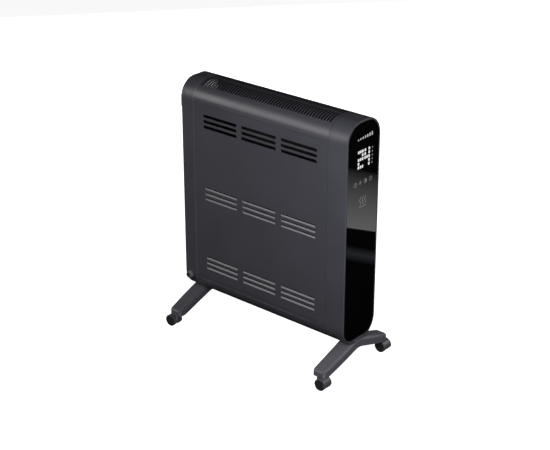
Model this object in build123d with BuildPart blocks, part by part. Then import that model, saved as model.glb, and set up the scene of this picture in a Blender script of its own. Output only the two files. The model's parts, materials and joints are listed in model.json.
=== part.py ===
from build123d import *
import os
from math import cos, radians, sin, sqrt, tan

os.makedirs("parts", exist_ok=True)

# A free-standing convector heater on castors, in millimetres.
# The origin is on the floor under the middle of the heater.
# +Z is up, the louvred front faces -Y and the glass control panel faces +X.

# ---------------------------------------------------------------- driving sizes

# Body: one rounded outline in the YZ plane, carried along X.
body_width = 454.8
body_shift = 1.1
body_depth = 110.0
body_height = 505.7
top_bend = 43.0
bottom_bend = 48.0
body_base = 71.0
skin = 1.2
seam = 0.5
lap = 8.0
lap_gap = 0.1

# End caps: plastic mouldings that close the two ends of the body.
left_cap_width = 35.0
right_cap_width = 48.2
cap_wall = 2.5
cap_flange = 9.5
cap_edge = 1.2

# Louvred front panel.
slot_columns = 3
slot_rows = 3
column_pitch = 109.1
slot_length = 96.6
slot_height = 7.0
slot_pitch = 12.4
block_pitch = 169.5
block_count = 3
block_shift = 1.5
louvre_depth = 3.4
louvre_rise = 2.9
louvre_sheet = 0.8

# Top and bottom grilles.
top_slot_count = 48
top_slot_pitch = 7.45
top_slot_width = 4.1
top_slot_angle = 53.0
top_spine = 6.0
bottom_slot_count = 24
bottom_slot_pitch = 14.0
bottom_slot_width = 5.0
bottom_slot_reach = 30.0

# Rear panel.
rear_slot_rows = 6
rear_slot_drop = 120.0
rear_slot_rise = 150.0
rear_slot_pitch = 13.0

# Carrying grip in the upper part of the left end.
grip_drop = 62.0
grip_depth = 9.0
grip_proud = 2.0
grip_gap = 0.4
grip_side = 20.0
grip_top = 24.0
grip_edge = 1.8
pocket_depth = 24.0
pocket_wall = 2.0

# Glass control panel.
glass_thickness = 4.0
glass_recess = 0.2
glass_gap = 0.15
glass_border = 3.7
glass_chin = 11.2
glass_bend = 30.0
glass_edge = 0.6
glass_ledge = 5.0
ledge_thickness = 3.0
bezel_edge = 0.8

# Cable gland on the front of the left cap.
gland_rise = 38.8
gland_inset = 13.3
gland_bore = 4.0
gland_flange = 8.8
gland_tip = 6.6
gland_edge = 0.8
gland_length = 7.0
gland_thread = 6.0
gland_tail = 14.0
gland_nut_size = 9.0
gland_nut_thickness = 4.0
gland_boss = 10.5
gland_seat = 7.0

# Inner plates and heating element.
plate = 1.0
plate_clearance = 0.4
duct_depth = 25.0
element_rise = 110.0
element_hub = 8.0
element_arm = 31.0
element_fin = 1.6
element_side_fins = (15.0, 24.0)
element_side_fin_length = 12.0
element_slits = 16
element_slit_width = 2.0
element_end_gap = 10.0
rod_radius = 4.0
rod_overhang = 14.0
bush_radius = 9.0
bush_length = 8.0
tab_length = 10.0
tab_width = 6.3
tab_thickness = 0.8
shield_top_gap = 8.0
shield_below_element = 50.0
cutout_radius = 8.0
cutout_height = 9.0
cutout_rise = 62.0

# Electronics behind the glass and in the two caps.
board_thickness = 1.6
control_gap = 8.0
control_board_y = 68.0
control_board_z = 190.0
control_board_drop = 122.0
carrier_border = 4.0
chip_size = 10.0
chip_height = 1.2
digit_drop = 84.0
display_width = 50.0
display_height = 52.0
key_drop = 134.0
key_pitch = 17.2
key_count = 4
key_radius = 3.0
key_wire = 0.8
power_board_y = 64.0
power_board_z = 120.0
power_board_rise = 230.0
board_hole_y = 54.0
board_hole_z = 108.0
board_screw_radius = 1.5
board_screw_head = 2.8
spacer_length = 8.0
spacer_radius = 3.5
relay_width = 19.0
relay_height = 15.0
relay_depth = 16.0
relay_pitch = 26.0
connector_width = 40.0
connector_height = 12.0
connector_depth = 12.0
terminal_rise = 80.0
terminal_width = 34.0
terminal_height = 18.0
terminal_depth = 22.0
terminal_hole = 2.5
tilt_y = 18.0
tilt_width = 22.0
tilt_height = 24.0
tilt_depth = 16.0
sensor_y = 30.0
sensor_radius = 2.5
sensor_length = 14.0
loom_radius = 2.0
loom_rise = 32.0
loom_y = -14.0
loom_bend = 10.0
grommet_wall = 2.0
grommet_length = 3.0

# Legs: two bows across the depth, one under each cap.
leg_proud = 3.6
leg_width = 38.0
leg_bow = 6.0
leg_overreach = 58.5
leg_apex = 9.2
leg_slope = 18.9
leg_thickness = 20.3
leg_crown_top = 30.0
leg_crown_under = 42.0
leg_corner = 9.0
leg_edge = 7.0
foot_clearance = 0.75
leg_wall = 4.0
leg_roof = 5.0
leg_end_wall = 25.5
leg_seat_gap = 0.1
rib_count = 5
rib_pitch = 6.0
rib_width = 2.4
rib_depth = 1.8
rib_rise = 10.0

# Castors.
castor_inset = 20.0
castor_end_inset = 6.7
castor_trail = 7.5
wheel_radius = 12.6
wheel_face = 13.5
wheel_play = 0.3
wheel_chamfer = 0.8
wheel_dish = 0.7
wheel_rim = 2.2
wheel_hub_wall = 2.0
wheel_pocket = 4.0
hood_gap = 0.35
hood_wall = 1.0
hood_half_width = 12.5
hood_skirt = 3.0
web_half = 3.8
neck_radius = 7.5
neck_gap = 0.8
axle_radius = 2.0
axle_half = 10.8
running_clearance = 0.05
stem_radius = 2.8
stem_grip = 9.0
stem_length = 11.0
stem_end_gap = 0.6
castor_bush_wall = 2.0
castor_bush_flange = 5.8
castor_bush_lip = 1.2
castor_bush_cap = 1.2

# Screws.
screw_radius = 2.0
screw_head = 3.8
screw_head_height = 2.2
screw_length = 7.0
recess_radius = 1.3
leg_screw_radius = 2.5
leg_screw_head = 4.6
leg_screw_length = 14.0
leg_screw_y = 16.0
boss_radius = 5.5
boss_height = 16.0

# ------------------------------------------------------------- derived positions

x_left = body_shift - body_width / 2
x_right = body_shift + body_width / 2
y_front = -body_depth / 2
y_back = body_depth / 2
z_bottom = body_base
z_top = body_base + body_height
z_middle = (z_bottom + z_top) / 2
x_left_seam = x_left + left_cap_width
x_right_seam = x_right - right_cap_width
panel_left = x_left_seam + seam
panel_right = x_right_seam - seam
panel_width = panel_right - panel_left
panel_middle = (panel_left + panel_right) / 2
z_panel_bottom = z_bottom + bottom_bend
z_panel_top = z_top - top_bend
lap_inset = skin + lap_gap
plate_inset = lap_inset + cap_wall + plate_clearance
z_element = z_bottom + element_rise
z_loom = z_bottom + loom_rise
x_glass_back = x_right - glass_recess - glass_thickness
x_control_board = x_glass_back - control_gap - board_thickness
x_partition = x_right_seam - plate
x_power_board = x_right_seam + spacer_length
z_control_board = z_top - control_board_drop
z_power_board = z_bottom + power_board_rise
z_gland = z_bottom + gland_rise
z_terminal = z_bottom + terminal_rise
rib_top = z_bottom + rib_rise
x_gland = x_left + gland_inset
leg_outer = body_width / 2 + leg_proud
leg_inner = leg_outer - leg_width
leg_outer_end = leg_outer - leg_bow
leg_reach = body_depth / 2 + leg_overreach
leg_hollow = leg_reach - leg_end_wall
castor_x = leg_outer - castor_inset
castor_y = leg_reach - castor_end_inset
foot_height = 2 * wheel_radius + hood_gap + hood_wall + foot_clearance


def save(piece, name):
    """Label a finished piece and write it as its own STEP file."""
    piece.part.label = name
    export_step(piece.part, f"parts/{name}.step")


def section(x, inset=0.0):
    """The body's outline at x, moved inwards by inset, as a face across X."""
    with BuildSketch(Plane.YZ.offset(x)) as outline:
        with Locations((0, z_middle)):
            Rectangle(body_depth - 2 * inset, body_height - 2 * inset)
        fillet(outline.vertices().group_by(Axis.Y)[-1], top_bend - inset)
        fillet(outline.vertices().group_by(Axis.Y)[0], bottom_bend - inset)
    return outline.sketch


def glass_outline(x, inset=0.0):
    """The glass's seat at x, moved inwards by inset, as a face across X."""
    width = body_depth - 2 * glass_border
    height = body_height - glass_border - glass_chin
    with BuildSketch(Plane.YZ.offset(x)) as outline:
        with Locations((0, z_bottom + glass_chin + height / 2)):
            Rectangle(width - 2 * inset, height - 2 * inset)
        fillet(outline.vertices().group_by(Axis.Y)[-1], top_bend - glass_border - inset)
        fillet(outline.vertices().group_by(Axis.Y)[0], glass_bend - inset)
    return outline.sketch


def box_between(low, high, mode=Mode.ADD):
    """An upright box from its lowest corner to its highest corner."""
    with Locations(low):
        Box(
            high[0] - low[0],
            high[1] - low[1],
            high[2] - low[2],
            align=(Align.MIN, Align.MIN, Align.MIN),
            mode=mode,
        )


def pan_screws(places, direction, shaft_radius, length, head_radius):
    """Pan-head screws: each place is the middle of a head's underside, and heads face direction."""
    round_off = screw_head_height / 3
    with BuildPart() as one:
        with BuildSketch(Plane.XZ):
            with BuildLine():
                Polyline(
                    (0, screw_head_height - recess_radius),
                    (recess_radius, screw_head_height),
                    (head_radius - round_off, screw_head_height),
                    (head_radius, screw_head_height - round_off),
                    (head_radius, 0),
                    (shaft_radius, 0),
                    (shaft_radius, -length),
                    (0, -length),
                    close=True,
                )
            make_face()
        revolve(axis=Axis.Z)
    with BuildPart() as screws:
        for place in places:
            add(Plane(origin=place, z_dir=direction).location * one.part)
    return screws


# ------------------------------------------------------------------ sheet panels

block_heights = [
    z_middle + block_shift + block_pitch * (step - (block_count - 1) / 2) for step in range(block_count)
]
louvred_heights = block_heights[:-1]
blade_length = slot_length - slot_height / 2
louvre_back = y_front + louvre_depth
row_steps = [row - (slot_rows - 1) / 2 for row in range(slot_rows)]
column_steps = [column - (slot_columns - 1) / 2 for column in range(slot_columns)]
lips = [height + slot_pitch * step - slot_height / 2 for height in louvred_heights for step in row_steps]


def panel_lap(face_y, edge):
    """A strip inside the skin of one face, reaching a lap below and a lap above edge."""
    lap_start = panel_left + lap + seam
    lap_length = panel_width - 2 * (lap + seam)
    with BuildPart() as strip:
        extrude(section(lap_start, skin), amount=lap_length)
        extrude(section(lap_start, 2 * skin), amount=lap_length, mode=Mode.SUBTRACT)
        box_between(
            (lap_start, min(0, face_y), edge - lap),
            (lap_start + lap_length, max(0, face_y), edge + lap),
            mode=Mode.INTERSECT,
        )
    return strip.part


def flat_panel(face_y, inward):
    """A flat sheet between the seams, with laps that reach behind the top and bottom grilles."""
    inner_y = face_y + inward * skin
    box_between(
        (panel_left, min(face_y, inner_y), z_panel_bottom + seam / 2),
        (panel_right, max(face_y, inner_y), z_panel_top - seam / 2),
    )
    add(panel_lap(face_y, z_panel_bottom))
    add(panel_lap(face_y, z_panel_top))


with BuildPart() as front_panel:
    flat_panel(y_front, 1)
    with BuildSketch(Plane.XZ.offset(-y_front)):
        with Locations(*[(panel_middle, height) for height in block_heights]):
            with GridLocations(column_pitch, slot_pitch, slot_columns, slot_rows):
                SlotOverall(slot_length, slot_height)
    extrude(amount=-3 * skin, mode=Mode.SUBTRACT)
    # Each louvre is a blade that rises inwards from the slot's lower lip, closed at both ends.
    for step in column_steps:
        blade_start = panel_middle + column_pitch * step - blade_length / 2
        for lip in lips:
            with BuildSketch(Plane.YZ.offset(blade_start)):
                with BuildLine():
                    Polyline(
                        (y_front + skin / 2, lip),
                        (louvre_back, lip + louvre_rise),
                        (louvre_back, lip + louvre_rise - louvre_sheet),
                        (y_front + skin / 2, lip - 2 * louvre_sheet),
                        close=True,
                    )
                make_face()
            extrude(amount=blade_length)
            for start in (blade_start - louvre_sheet, blade_start + blade_length):
                box_between(
                    (start, y_front + skin / 2, lip - louvre_sheet),
                    (start + louvre_sheet, louvre_back, lip + slot_height + louvre_sheet),
                )
save(front_panel, "front_panel")

rear_screw_columns = (panel_left + lap / 2, panel_right - lap / 2)
rear_screw_heights = (z_panel_bottom + 2 * lap, z_middle, z_panel_top - 2 * lap)
rear_screw_places = [(x, z) for x in rear_screw_columns for z in rear_screw_heights]
rear_block_heights = (z_middle - rear_slot_drop, z_middle + rear_slot_rise)

with BuildPart() as rear_panel:
    flat_panel(y_back, -1)
    with BuildSketch(Plane.XZ.offset(-y_back)):
        with Locations(*[(panel_middle, height) for height in rear_block_heights]):
            with GridLocations(column_pitch, rear_slot_pitch, slot_columns, rear_slot_rows):
                SlotOverall(slot_length, slot_height)
        with Locations(*rear_screw_places):
            Circle(screw_radius + lap_gap)
    extrude(amount=3 * skin, both=True, mode=Mode.SUBTRACT)
save(rear_panel, "rear_panel")

slot_end = body_depth / 2 - top_bend + top_bend * cos(radians(top_slot_angle))
slot_drop = top_bend * (1 - sin(radians(top_slot_angle)))

with BuildPart() as top_grille:
    extrude(section(panel_left), amount=panel_width)
    extrude(section(panel_left, skin), amount=panel_width, mode=Mode.SUBTRACT)
    split(bisect_by=Plane.XY.offset(z_panel_top + seam / 2), keep=Keep.TOP)
    run = slot_end - top_spine / 2
    offset_y = (slot_end + top_spine / 2) / 2
    with BuildSketch(Plane.XY.offset(z_top + skin)):
        with Locations((panel_middle, -offset_y), (panel_middle, offset_y)):
            with GridLocations(top_slot_pitch, 1, top_slot_count, 1):
                SlotOverall(run, top_slot_width, rotation=90)
    extrude(amount=-slot_drop - 4 * skin, mode=Mode.SUBTRACT)
save(top_grille, "top_grille")

with BuildPart() as bottom_grille:
    extrude(section(panel_left), amount=panel_width)
    extrude(section(panel_left, skin), amount=panel_width, mode=Mode.SUBTRACT)
    split(bisect_by=Plane.XY.offset(z_panel_bottom - seam / 2), keep=Keep.BOTTOM)
    run = bottom_slot_reach - top_spine / 2
    offset_y = (bottom_slot_reach + top_spine / 2) / 2
    with BuildSketch(Plane.XY.offset(z_bottom - skin)):
        with Locations((panel_middle, -offset_y), (panel_middle, offset_y)):
            with GridLocations(bottom_slot_pitch, 1, bottom_slot_count, 1):
                SlotOverall(run, bottom_slot_width, rotation=90)
    extrude(amount=bottom_bend / 3, mode=Mode.SUBTRACT)
save(bottom_grille, "bottom_grille")

# ---------------------------------------------------------------------- end caps

z_grip = z_top - grip_drop
z_pocket_top = z_top - grip_top
pocket_half = body_depth / 2 - grip_side
x_grip_back = x_left + grip_depth
x_pocket_back = x_left + pocket_depth
leg_screw_places = [(castor_x, way * leg_screw_y) for way in (-1, 1)]


def cap_inner_edge(seam_x, inward):
    """Cut the opening through a cap's inner flange and add the ring that the panels lap over."""
    flange_start = min(seam_x, seam_x - inward * cap_wall)
    extrude(section(flange_start - 1, cap_flange), amount=cap_wall + 2, mode=Mode.SUBTRACT)
    ring_start = min(seam_x, seam_x + inward * lap)
    extrude(section(ring_start, lap_inset), amount=lap)
    extrude(section(ring_start, lap_inset + cap_wall), amount=lap, mode=Mode.SUBTRACT)


def rear_screw_pilots(column):
    """Pilot holes for the rear panel's screws in the cap's lap ring."""
    with BuildSketch(Plane.XZ.offset(-y_back)) as pilots:
        with Locations(*[(column, z) for z in rear_screw_heights]):
            Circle(screw_radius)
    extrude(pilots.sketch, amount=screw_length, mode=Mode.SUBTRACT)


def leg_screw_bosses(side):
    """Bosses on the floor of a cap for the screws that hold its leg."""
    with BuildSketch(Plane.XY.offset(z_bottom + cap_wall)) as bosses:
        with Locations(*[(side * x, y) for x, y in leg_screw_places]):
            Circle(boss_radius)
    extrude(bosses.sketch, amount=boss_height)
    with BuildSketch(Plane.XY.offset(z_bottom - 1)) as holes:
        with Locations(*[(side * x, y) for x, y in leg_screw_places]):
            Circle(leg_screw_radius)
    extrude(holes.sketch, amount=leg_screw_length, mode=Mode.SUBTRACT)


with BuildPart() as grip_wall:
    extrude(section(x_grip_back + grip_gap, cap_wall / 2), amount=pocket_wall)
    split(bisect_by=Plane.XY.offset(z_grip - pocket_wall), keep=Keep.TOP)

with BuildPart() as left_end_cap:
    extrude(section(x_left), amount=left_cap_width)
    fillet(left_end_cap.faces().sort_by(Axis.X)[0].edges(), cap_edge)
    hollow = left_cap_width - 2 * cap_wall
    extrude(section(x_left + cap_wall, cap_wall), amount=hollow, mode=Mode.SUBTRACT)
    cap_inner_edge(x_left_seam, 1)
    # The outer edge above the grip line belongs to the grip.
    box_between(
        (x_left - 1, y_front - 1, z_grip),
        (x_grip_back + grip_gap, y_back + 1, z_top + 1),
        mode=Mode.SUBTRACT,
    )
    # Finger pocket behind the grip, and the walls that close the cap around it.
    add(grip_wall.part)
    box_between(
        (x_left + cap_wall / 2, y_front + cap_wall / 2, z_grip - pocket_wall),
        (x_grip_back + grip_gap + pocket_wall, y_back - cap_wall / 2, z_grip),
    )
    box_between(
        (x_grip_back + grip_gap, -pocket_half - pocket_wall, z_grip - pocket_wall),
        (x_pocket_back + pocket_wall, pocket_half + pocket_wall, z_pocket_top + pocket_wall),
    )
    box_between(
        (x_left - 1, -pocket_half, z_grip),
        (x_pocket_back, pocket_half, z_pocket_top),
        mode=Mode.SUBTRACT,
    )
    # Flat boss with the hole that the cable gland passes through.
    with BuildSketch(Plane.XZ.offset(-y_front)):
        with Locations((x_gland, z_gland)):
            Circle(gland_boss)
    extrude(amount=-gland_seat)
    with BuildSketch(Plane.XZ.offset(-y_front)):
        with Locations((x_gland, z_gland)):
            Circle(gland_thread)
    extrude(amount=2 * gland_seat, both=True, mode=Mode.SUBTRACT)
    leg_screw_bosses(-1)
    rear_screw_pilots(rear_screw_columns[0])
save(left_end_cap, "left_end_cap")

with BuildPart() as left_grip:
    extrude(section(x_left - grip_proud), amount=grip_proud + grip_depth)
    split(bisect_by=Plane.XY.offset(z_grip + grip_gap), keep=Keep.TOP)
    with BuildSketch(Plane.YZ.offset(x_left - grip_proud)):
        with Locations((0, z_grip)):
            Rectangle(2 * pocket_half, 2 * (z_pocket_top - z_grip))
    extrude(amount=grip_proud + grip_depth, mode=Mode.SUBTRACT)
    fillet(left_grip.faces().sort_by(Axis.X)[0].edges(), grip_edge)
save(left_grip, "left_grip")

with BuildPart() as right_end_cap:
    extrude(section(x_right_seam), amount=right_cap_width)
    fillet(right_end_cap.faces().sort_by(Axis.X)[-1].edges(), bezel_edge)
    extrude(glass_outline(x_glass_back), amount=2 * glass_thickness, mode=Mode.SUBTRACT)
    ledge_back = x_glass_back - ledge_thickness
    extrude(glass_outline(ledge_back - 1, glass_ledge), amount=2 * ledge_thickness, mode=Mode.SUBTRACT)
    hollow = ledge_back - x_right_seam - cap_wall
    extrude(section(x_right_seam + cap_wall, cap_wall), amount=hollow, mode=Mode.SUBTRACT)
    cap_inner_edge(x_right_seam, -1)
    leg_screw_bosses(1)
    rear_screw_pilots(rear_screw_columns[1])
save(right_end_cap, "right_end_cap")

with BuildPart() as control_glass:
    extrude(glass_outline(x_glass_back, glass_gap), amount=glass_thickness)
    fillet(control_glass.faces().sort_by(Axis.X)[-1].edges(), glass_edge)
save(control_glass, "control_glass")

# ------------------------------------------------------------------- cable gland

with BuildPart() as cable_gland:
    with BuildSketch(Plane.XZ):
        with BuildLine():
            Polyline(
                (gland_bore, gland_length),
                (gland_tip, gland_length),
                (gland_flange, 0),
                (gland_thread, 0),
                (gland_thread, -gland_tail),
                (gland_bore, -gland_tail),
                close=True,
            )
        make_face()
    revolve(axis=Axis.Z)
    fillet(cable_gland.edges().filter_by(GeomType.CIRCLE).group_by(Axis.Z)[-1], gland_edge)
gland_plane = Plane(origin=(x_gland, y_front, z_gland), z_dir=(0, -1, 0))
with BuildPart() as placed_gland:
    add(gland_plane.location * cable_gland.part)
save(placed_gland, "cable_gland")

with BuildPart() as gland_nut:
    with BuildSketch(Plane.XZ.offset(-y_front - gland_seat)):
        with Locations((x_gland, z_gland)):
            RegularPolygon(gland_nut_size, 6)
            Circle(gland_thread, mode=Mode.SUBTRACT)
    extrude(amount=-gland_nut_thickness)
save(gland_nut, "gland_nut")

# ----------------------------------------------------- inner plates and hot parts

z_shield_top = z_top - shield_top_gap
z_shield_bottom = z_element - shield_below_element


def end_plate(x):
    """A plate across the duct, with round openings for the element's bush and the wiring."""
    extrude(section(x, plate_inset), amount=plate)
    with BuildSketch(Plane.YZ.offset(x - plate)) as openings:
        with Locations((0, z_element)):
            Circle(bush_radius)
        with Locations((loom_y, z_loom)):
            Circle(loom_radius + grommet_wall)
    extrude(openings.sketch, amount=3 * plate, mode=Mode.SUBTRACT)


with BuildPart() as left_end_plate:
    end_plate(x_left_seam)
    split(bisect_by=Plane.XZ.offset(-duct_depth), keep=Keep.TOP)
save(left_end_plate, "left_end_plate")

with BuildPart() as right_partition:
    end_plate(x_partition)
    with BuildSketch(Plane.YZ.offset(x_partition - plate)):
        with Locations((0, z_power_board)):
            with GridLocations(board_hole_y, board_hole_z, 2, 2):
                Circle(board_screw_radius)
    extrude(amount=3 * plate, mode=Mode.SUBTRACT)
save(right_partition, "right_partition")

with BuildPart() as rear_heat_shield:
    box_between(
        (x_left_seam + plate, duct_depth - plate, z_shield_bottom),
        (x_partition, duct_depth, z_shield_top),
    )
save(rear_heat_shield, "rear_heat_shield")

element_left = x_left_seam + plate + element_end_gap
element_right = x_partition - element_end_gap
element_length = element_right - element_left

with BuildPart() as element_fins:
    with BuildSketch(Plane.YZ.offset(element_left)):
        with Locations((0, z_element)):
            Circle(element_hub)
            for angle in (45, 135):
                Rectangle(2 * element_arm, 2 * element_fin, rotation=angle)
            for reach in element_side_fins:
                with PolarLocations(reach, 4, start_angle=45):
                    Rectangle(element_fin, element_side_fin_length)
            Circle(rod_radius, mode=Mode.SUBTRACT)
    extrude(amount=element_length)
    slit_pitch = element_length / element_slits
    with BuildSketch(Plane.XZ.offset(-y_back)):
        with Locations(((element_left + element_right) / 2, z_element)):
            for side in (-1, 1):
                with Locations((0, side * (element_hub + element_arm) / 2)):
                    with GridLocations(slit_pitch, 1, element_slits - 1, 1):
                        Rectangle(element_slit_width, element_arm - element_hub)
    extrude(amount=body_depth, mode=Mode.SUBTRACT)
save(element_fins, "element_fins")

rod_left = x_left_seam - rod_overhang
rod_right = x_right_seam + rod_overhang
with BuildPart() as element_rod:
    with BuildSketch(Plane.YZ.offset(rod_left)):
        with Locations((0, z_element)):
            Circle(rod_radius)
    extrude(amount=rod_right - rod_left)
save(element_rod, "element_rod")

with BuildPart() as element_bushes:
    for x in (x_left_seam + plate / 2, x_partition + plate / 2):
        with BuildSketch(Plane.YZ.offset(x)):
            with Locations((0, z_element)):
                Circle(bush_radius)
                Circle(rod_radius, mode=Mode.SUBTRACT)
        extrude(amount=bush_length / 2, both=True)
save(element_bushes, "element_bushes")

with BuildPart() as element_terminals:
    for x, inward in ((rod_left, 1), (rod_right, -1)):
        box_between(
            (min(x, x - inward * tab_length), -tab_width / 2, z_element - tab_thickness / 2),
            (max(x, x - inward * tab_length), tab_width / 2, z_element + tab_thickness / 2),
        )
save(element_terminals, "element_terminals")

with BuildPart() as thermal_cutout:
    with BuildSketch(Plane.YZ.offset(x_partition)):
        with Locations((0, z_element + cutout_rise)):
            Circle(cutout_radius)
            Rectangle(4 * cutout_radius, cutout_radius)
    extrude(amount=-plate)
    with BuildSketch(Plane.YZ.offset(x_partition - plate)):
        with Locations((0, z_element + cutout_rise)):
            Circle(cutout_radius)
    extrude(amount=-cutout_height)
save(thermal_cutout, "thermal_cutout")

# ------------------------------------------------------------------- electronics

with BuildPart() as board_carrier:
    with BuildSketch(Plane.YZ.offset(x_glass_back)):
        with Locations((0, z_control_board)):
            Rectangle(control_board_y, control_board_z)
            Rectangle(
                control_board_y - 2 * carrier_border,
                control_board_z - 2 * carrier_border,
                mode=Mode.SUBTRACT,
            )
    extrude(amount=-control_gap)
save(board_carrier, "board_carrier")

with BuildPart() as control_board:
    with BuildSketch(Plane.YZ.offset(x_control_board)):
        with Locations((0, z_control_board)):
            Rectangle(control_board_y, control_board_z)
    extrude(amount=board_thickness)
    with BuildSketch(Plane.YZ.offset(x_control_board)):
        with Locations((0, z_control_board)):
            Rectangle(chip_size, chip_size)
    extrude(amount=-chip_height)
save(control_board, "control_board")

with BuildPart() as display_module:
    box_between(
        (x_control_board + board_thickness, -display_width / 2, z_top - digit_drop - display_height / 2),
        (x_glass_back, display_width / 2, z_top - digit_drop + display_height / 2),
    )
save(display_module, "display_module")

with BuildPart() as touch_springs:
    with BuildSketch(Plane.YZ.offset(x_glass_back)):
        with Locations((0, z_top - key_drop)):
            with GridLocations(key_pitch, 1, key_count, 1):
                Circle(key_radius)
                Circle(key_radius - key_wire, mode=Mode.SUBTRACT)
    extrude(amount=-control_gap)
save(touch_springs, "touch_springs")

with BuildPart() as power_board:
    with BuildSketch(Plane.YZ.offset(x_power_board)):
        with Locations((0, z_power_board)):
            Rectangle(power_board_y, power_board_z)
            with GridLocations(board_hole_y, board_hole_z, 2, 2):
                Circle(board_screw_radius, mode=Mode.SUBTRACT)
    extrude(amount=board_thickness)
    # Connector block along the lower edge, where the loom plugs in.
    with BuildSketch(Plane.YZ.offset(x_power_board + board_thickness)):
        with Locations((0, z_power_board - power_board_z / 2 + connector_height / 2)):
            Rectangle(connector_width, connector_height)
    extrude(amount=connector_depth)
save(power_board, "power_board")

with BuildPart() as relays:
    with BuildSketch(Plane.YZ.offset(x_power_board + board_thickness)):
        with Locations((0, z_power_board)):
            with GridLocations(relay_pitch, 1, 2, 1):
                Rectangle(relay_width, relay_height)
    extrude(amount=relay_depth)
save(relays, "relays")

with BuildPart() as board_spacers:
    with BuildSketch(Plane.YZ.offset(x_right_seam)):
        with Locations((0, z_power_board)):
            with GridLocations(board_hole_y, board_hole_z, 2, 2):
                Circle(spacer_radius)
                Circle(board_screw_radius, mode=Mode.SUBTRACT)
    extrude(amount=spacer_length)
save(board_spacers, "board_spacers")

board_screw_places = [
    (x_power_board + board_thickness, y, z_power_board + z)
    for y in (-board_hole_y / 2, board_hole_y / 2)
    for z in (-board_hole_z / 2, board_hole_z / 2)
]
board_screws = pan_screws(
    board_screw_places, (1, 0, 0), board_screw_radius, spacer_length + board_thickness, board_screw_head
)
save(board_screws, "board_screws")

with BuildPart() as terminal_block:
    with BuildSketch(Plane.YZ.offset(x_left_seam)):
        with Locations((0, z_terminal)):
            Rectangle(terminal_width, terminal_height)
    extrude(amount=-terminal_depth)
    with BuildSketch(Plane.YZ.offset(x_left_seam - terminal_depth)):
        with Locations((0, z_terminal)):
            with GridLocations(terminal_width / 3, 1, 3, 1):
                Circle(terminal_hole)
    extrude(amount=terminal_depth / 2, mode=Mode.SUBTRACT)
save(terminal_block, "terminal_block")

with BuildPart() as tilt_switch:
    with BuildSketch(Plane.YZ.offset(x_left_seam)):
        with Locations((tilt_y, z_loom)):
            Rectangle(tilt_width, tilt_height)
    extrude(amount=-tilt_depth)
    fillet(tilt_switch.edges().filter_by(Axis.X), 1)
save(tilt_switch, "tilt_switch")

with BuildPart() as room_sensor:
    with BuildSketch(Plane.YZ.offset(x_right_seam)):
        with Locations((sensor_y, z_loom)):
            Circle(sensor_radius)
    extrude(amount=sensor_length)
    fillet(room_sensor.faces().sort_by(Axis.X)[-1].edges(), sensor_radius / 2)
save(room_sensor, "room_sensor")

with BuildPart() as wire_grommets:
    for x in (x_left_seam + plate / 2, x_partition + plate / 2):
        with BuildSketch(Plane.YZ.offset(x)):
            with Locations((loom_y, z_loom)):
                Circle(loom_radius + grommet_wall)
                Circle(loom_radius, mode=Mode.SUBTRACT)
        extrude(amount=grommet_length / 2, both=True)
save(wire_grommets, "wire_grommets")

loom_end_z = z_power_board - power_board_z / 2
loom_x = (x_left_seam - terminal_depth / 2, x_power_board + board_thickness + connector_depth / 2)
with BuildPart() as wiring_loom:
    with BuildLine() as route:
        FilletPolyline(
            (loom_x[0], loom_y, z_terminal - terminal_height / 2),
            (loom_x[0], loom_y, z_loom),
            (loom_x[1], loom_y, z_loom),
            (loom_x[1], loom_y, loom_end_z),
            radius=loom_bend,
        )
    with BuildSketch(Plane.XY.offset(z_terminal - terminal_height / 2)):
        with Locations((loom_x[0], loom_y)):
            Circle(loom_radius)
    sweep(path=route.line)
save(wiring_loom, "wiring_loom")

rear_screws = pan_screws(
    [(x, y_back, z) for x, z in rear_screw_places], (0, 1, 0), screw_radius, screw_length, screw_head
)
save(rear_screws, "rear_screws")

# -------------------------------------------------------------------------- legs

slope = tan(radians(leg_slope))
z_apex = z_bottom + leg_apex
z_under_apex = z_apex - leg_thickness
z_roof = z_bottom - leg_roof
foot_start = (z_under_apex - foot_height) / slope
roof_half = leg_apex / slope
bush_radius_outer = stem_radius + running_clearance + castor_bush_wall
bush_bore = stem_length + stem_end_gap
bush_height = bush_bore + castor_bush_cap
castor_ends = {"front": -1, "rear": 1}
leg_sides = {"left": -1, "right": 1}


def leg_top(y):
    """Height of a leg's straight upper line at a distance y from the middle."""
    return z_apex - slope * abs(y)


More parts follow.
